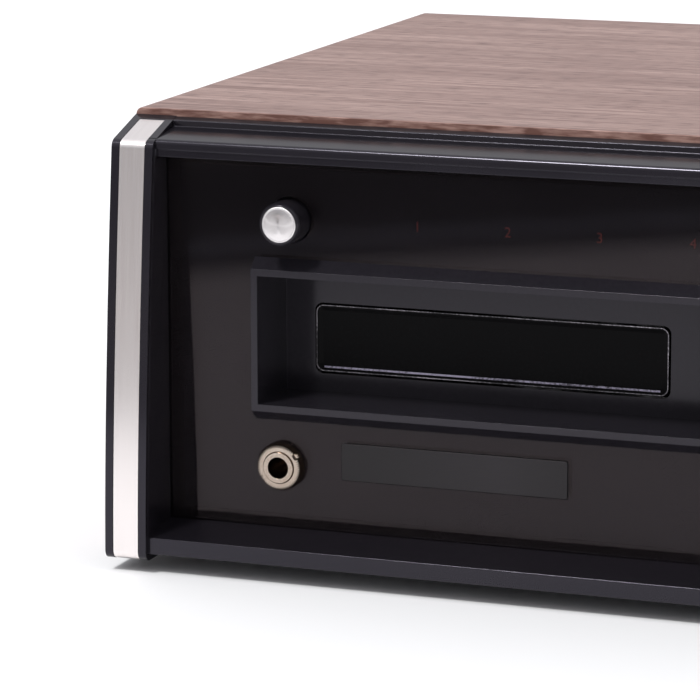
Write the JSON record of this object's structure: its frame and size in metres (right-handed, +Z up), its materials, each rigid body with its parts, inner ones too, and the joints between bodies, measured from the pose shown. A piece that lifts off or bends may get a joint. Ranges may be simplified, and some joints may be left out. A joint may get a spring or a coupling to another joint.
{
  "type": "8-track player",
  "caption": "Table stereo receiver with a walnut-grain cabinet, a recessed 8-track tape slot with a flap door, a smoked front panel with a dial, and turning knobs.",
  "frame": {"origin": "middle of the footprint, on the surface that the feet stand on", "axes": "+X to the right seen from the front, +Y from the front to the back, +Z up"},
  "size_m": [0.452, 0.29, 0.139],
  "materials": {
    "walnut_vinyl": "walnut-grain vinyl on board",
    "galvanised_steel": "galvanised sheet",
    "painted_steel": "satin black paint",
    "black_abs": "satin moulded",
    "gloss_black": "gloss moulded",
    "brushed_aluminium": "brushed, clear anodised",
    "smoked_acrylic": "smoked acrylic",
    "dark_plate": "dark satin foil",
    "bright_steel": "plated steel",
    "nickel": "dull nickel plate",
    "black_rubber": "moulded rubber",
    "spring_steel": "music wire",
    "phenolic": "paper phenolic",
    "dial_print": "screen printed",
    "red_plastic": "moulded",
    "cord_textile": "waxed braid",
    "white_acetal": "acetal",
    "brass": "turned",
    "board_green": "solder-masked board",
    "core_steel": "varnished laminations",
    "black_aluminium": "black anodised",
    "ferrite": "sintered",
    "head_metal": "mu-metal"
  },
  "bodies": {
    "receiver": {"cabinet": "walnut_vinyl", "base_chassis": "galvanised_steel", "rear_panel": "painted_steel", "front_subpanel": "galvanised_steel", "front_frame": "black_abs", "end_cap_left": "black_abs", "end_cap_right": "black_abs", "trim_strips": "brushed_aluminium", "smoked_panel": "smoked_acrylic", "nameplate": "dark_plate", "tape_bezel": "gloss_black", "door_hinge_pin": "bright_steel", "door_spring": "spring_steel", "channel_spring": "spring_steel", "channel_switch": "phenolic", "channel_indicator": "black_abs", "headphone_jack": "nickel", "headphone_nut": "nickel", "dial_plate": "dial_print", "dial_cord": "cord_textile", "tuning_capacitor": "galvanised_steel", "rotary_controls": "galvanised_steel", "deck_plate": "galvanised_steel", "drive_motor": "galvanised_steel", "drive_belt": "black_rubber", "solenoid": "painted_steel", "main_board": "board_green", "power_transformer": "core_steel", "heatsink": "black_aluminium", "ferrite_antenna": "ferrite", "phono_jacks": "nickel", "screw_terminals": "phenolic", "cord_bush": "black_rubber", "feet": "black_rubber", "screws": "bright_steel"},
    "tape_door": {"tape_door": "gloss_black"},
    "channel_button": {"channel_knob": "gloss_black", "channel_knob_cap": "brushed_aluminium", "channel_plunger": "bright_steel"},
    "power_button": {"power_button": "gloss_black"},
    "pointer": {"dial_pointer": "red_plastic"},
    "left_pulley": {"dial_pulley_left": "white_acetal"},
    "right_pulley": {"dial_pulley_right": "white_acetal"},
    "tuning_drum": {"dial_drum": "white_acetal", "tuning_rotor": "brushed_aluminium"},
    "tuning_shaft": {"tuning_spindle": "bright_steel", "tuning_knob": "gloss_black"},
    "volume": {"volume_knob": "gloss_black"},
    "balance": {"balance_knob": "gloss_black"},
    "tone": {"tone_knob": "gloss_black"},
    "function": {"function_knob": "gloss_black"},
    "catch_lever": {"catch_arm": "bright_steel"},
    "catch_wheel": {"catch_roller": "black_rubber"},
    "motor_rotor": {"motor_pulley": "brass"},
    "capstan_flywheel": {"flywheel": "brushed_aluminium", "capstan": "bright_steel"},
    "head_lift": {"playback_head": "head_metal", "head_carriage": "galvanised_steel"},
    "program_cam": {"head_cam": "white_acetal"},
    "program_plunger": {"solenoid_plunger": "bright_steel"}
  },
  "joints": [
    {"name": "door_swing", "type": "hinge", "parent": "receiver", "child": "tape_door", "pos_m": [-0.1164, -0.0981, 0.0856], "axis": [1, 0, 0], "range_deg": [0, 90], "stiffness_Nm_per_rad": 0.004, "springref_deg": -28.65},
    {"name": "channel_push", "type": "slide", "parent": "receiver", "child": "channel_button", "axis": [0, 1, 0], "range_m": [0, 0.0035], "stiffness_N_per_m": 350, "springref_m": -0.001, "deforming": ["channel_spring"]},
    {"name": "power_push", "type": "slide", "parent": "receiver", "child": "power_button", "axis": [0, 1, 0], "range_m": [0, 0.0035], "stiffness_N_per_m": 350, "springref_m": -0.001},
    {"name": "drum_turn", "type": "hinge", "parent": "receiver", "child": "tuning_drum", "pos_m": [0.096, -0.088, 0.0742], "axis": [0, 1, 0], "range_deg": [-53.99, 126.01]},
    {"name": "pointer_slide", "type": "slide", "parent": "receiver", "child": "pointer", "axis": [1, 0, 0], "range_m": [-0.03298, 0.07698]},
    {"name": "left_pulley_turn", "type": "hinge", "parent": "receiver", "child": "left_pulley", "pos_m": [0.028, -0.088, 0.1122], "axis": [0, 1, 0], "range_deg": [-474, 1104]},
    {"name": "right_pulley_turn", "type": "hinge", "parent": "receiver", "child": "right_pulley", "pos_m": [0.164, -0.088, 0.1122], "axis": [0, 1, 0], "range_deg": [-474, 1104]},
    {"name": "tuning_turn", "type": "hinge", "parent": "receiver", "child": "tuning_shaft", "pos_m": [0.179, -0.088, 0.0571], "axis": [0, 1, 0], "range_deg": [-541, 1262]},
    {"name": "function_turn", "type": "hinge", "parent": "receiver", "child": "function", "pos_m": [0.03148, -0.1242, 0.0411], "axis": [0, 1, 0], "range_deg": [-60, 60]},
    {"name": "tone_turn", "type": "hinge", "parent": "receiver", "child": "tone", "pos_m": [0.06836, -0.1242, 0.0411], "axis": [0, 1, 0], "range_deg": [-150, 150]},
    {"name": "balance_turn", "type": "hinge", "parent": "receiver", "child": "balance", "pos_m": [0.10524, -0.1242, 0.0411], "axis": [0, 1, 0], "range_deg": [-150, 150]},
    {"name": "volume_turn", "type": "hinge", "parent": "receiver", "child": "volume", "pos_m": [0.14212, -0.1242, 0.0411], "axis": [0, 1, 0], "range_deg": [-110, 190]},
    {"name": "catch_swing", "type": "hinge", "parent": "receiver", "child": "catch_lever", "pos_m": [-0.1792, -0.0837, 0.0579], "axis": [0, 0, 1], "range_deg": [0, 8], "stiffness_Nm_per_rad": 0.08, "springref_deg": -5.73},
    {"name": "catch_roll", "type": "hinge", "parent": "catch_lever", "child": "catch_wheel", "pos_m": [-0.1707, -0.0517, 0.0579], "axis": [0, 0, 1], "continuous": true},
    {"name": "capstan_spin", "type": "hinge", "parent": "receiver", "child": "capstan_flywheel", "pos_m": [-0.1504, -0.0089, 0.0579], "axis": [0, 0, 1], "continuous": true},
    {"name": "motor_spin", "type": "hinge", "parent": "receiver", "child": "motor_rotor", "pos_m": [-0.0604, 0.0173, 0.0579], "axis": [0, 0, 1], "continuous": true},
    {"name": "cam_turn", "type": "hinge", "parent": "receiver", "child": "program_cam", "pos_m": [-0.1014, 0.0126, 0.0579], "axis": [0, 0, 1], "range_deg": [0, 270]},
    {"name": "head_lift", "type": "slide", "parent": "receiver", "child": "head_lift", "axis": [0, 0, 1], "range_m": [0, 0.0024]},
    {"name": "plunger_pull", "type": "slide", "parent": "receiver", "child": "program_plunger", "axis": [-1, 0, 0], "range_m": [0, 0.004], "stiffness_N_per_m": 200, "springref_m": -0.001}
  ],
  "couplings": [
    {"joint": "pointer_slide", "follows": "drum_turn", "m_per_rad": 0.035},
    {"joint": "left_pulley_turn", "follows": "drum_turn", "ratio": 8.75},
    {"joint": "right_pulley_turn", "follows": "drum_turn", "ratio": 8.75},
    {"joint": "tuning_turn", "follows": "drum_turn", "ratio": 10},
    {"joint": "motor_spin", "follows": "capstan_spin", "ratio": 7.6},
    {"joint": "cam_turn", "follows": "head_lift", "rad_per_m": 1963.5}
  ]
}
